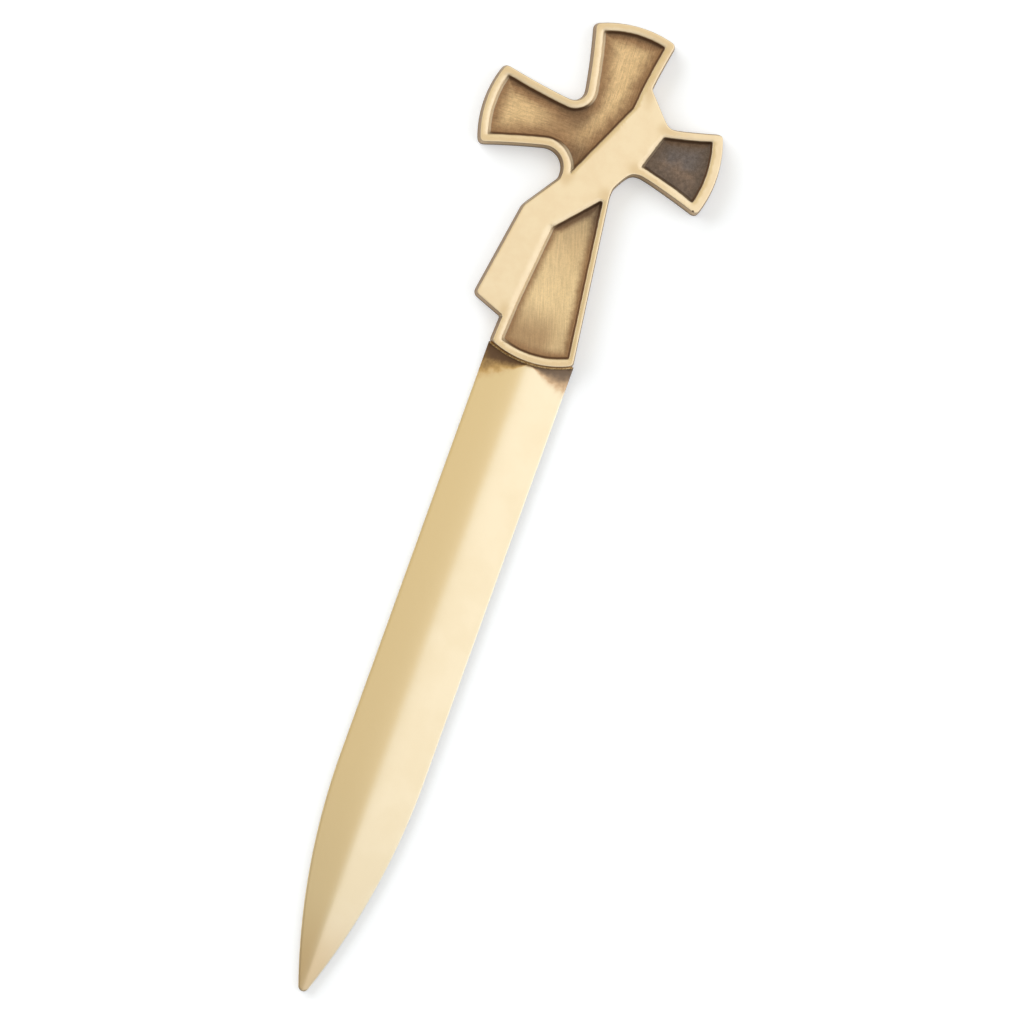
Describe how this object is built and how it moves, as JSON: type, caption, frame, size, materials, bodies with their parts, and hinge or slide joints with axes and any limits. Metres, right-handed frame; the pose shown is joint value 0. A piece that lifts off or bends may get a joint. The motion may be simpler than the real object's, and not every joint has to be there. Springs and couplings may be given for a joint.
{
  "type": "letter opener",
  "caption": "Brass letter opener: a ridged double-edged blade with a rounded point, joined to a cast cross handle with flared arms, a raised rim, sunk dark fields and a diagonal stole.",
  "frame": {"origin": "middle of the shoulder, where the foot of the cross meets the blade, on the plane that the opener rests on", "axes": "+Y along the blade from its point to the top of the cross, +Z out of the front face, +X to the right as the front is seen with the cross at the top"},
  "size_m": [0.046, 0.19, 0.0044],
  "materials": {
    "blade_brass": "fine brushed satin",
    "cast_brass": "satin raised faces with brown antique patina in the sunk fields",
    "braze": "bright, uneven",
    "pin_brass": "filed flush, satin"
  },
  "bodies": {
    "root": {"blade": "blade_brass", "cross_casting": "cast_brass", "braze_seam": "braze", "tang_pins": "pin_brass"}
  },
  "joints": []
}
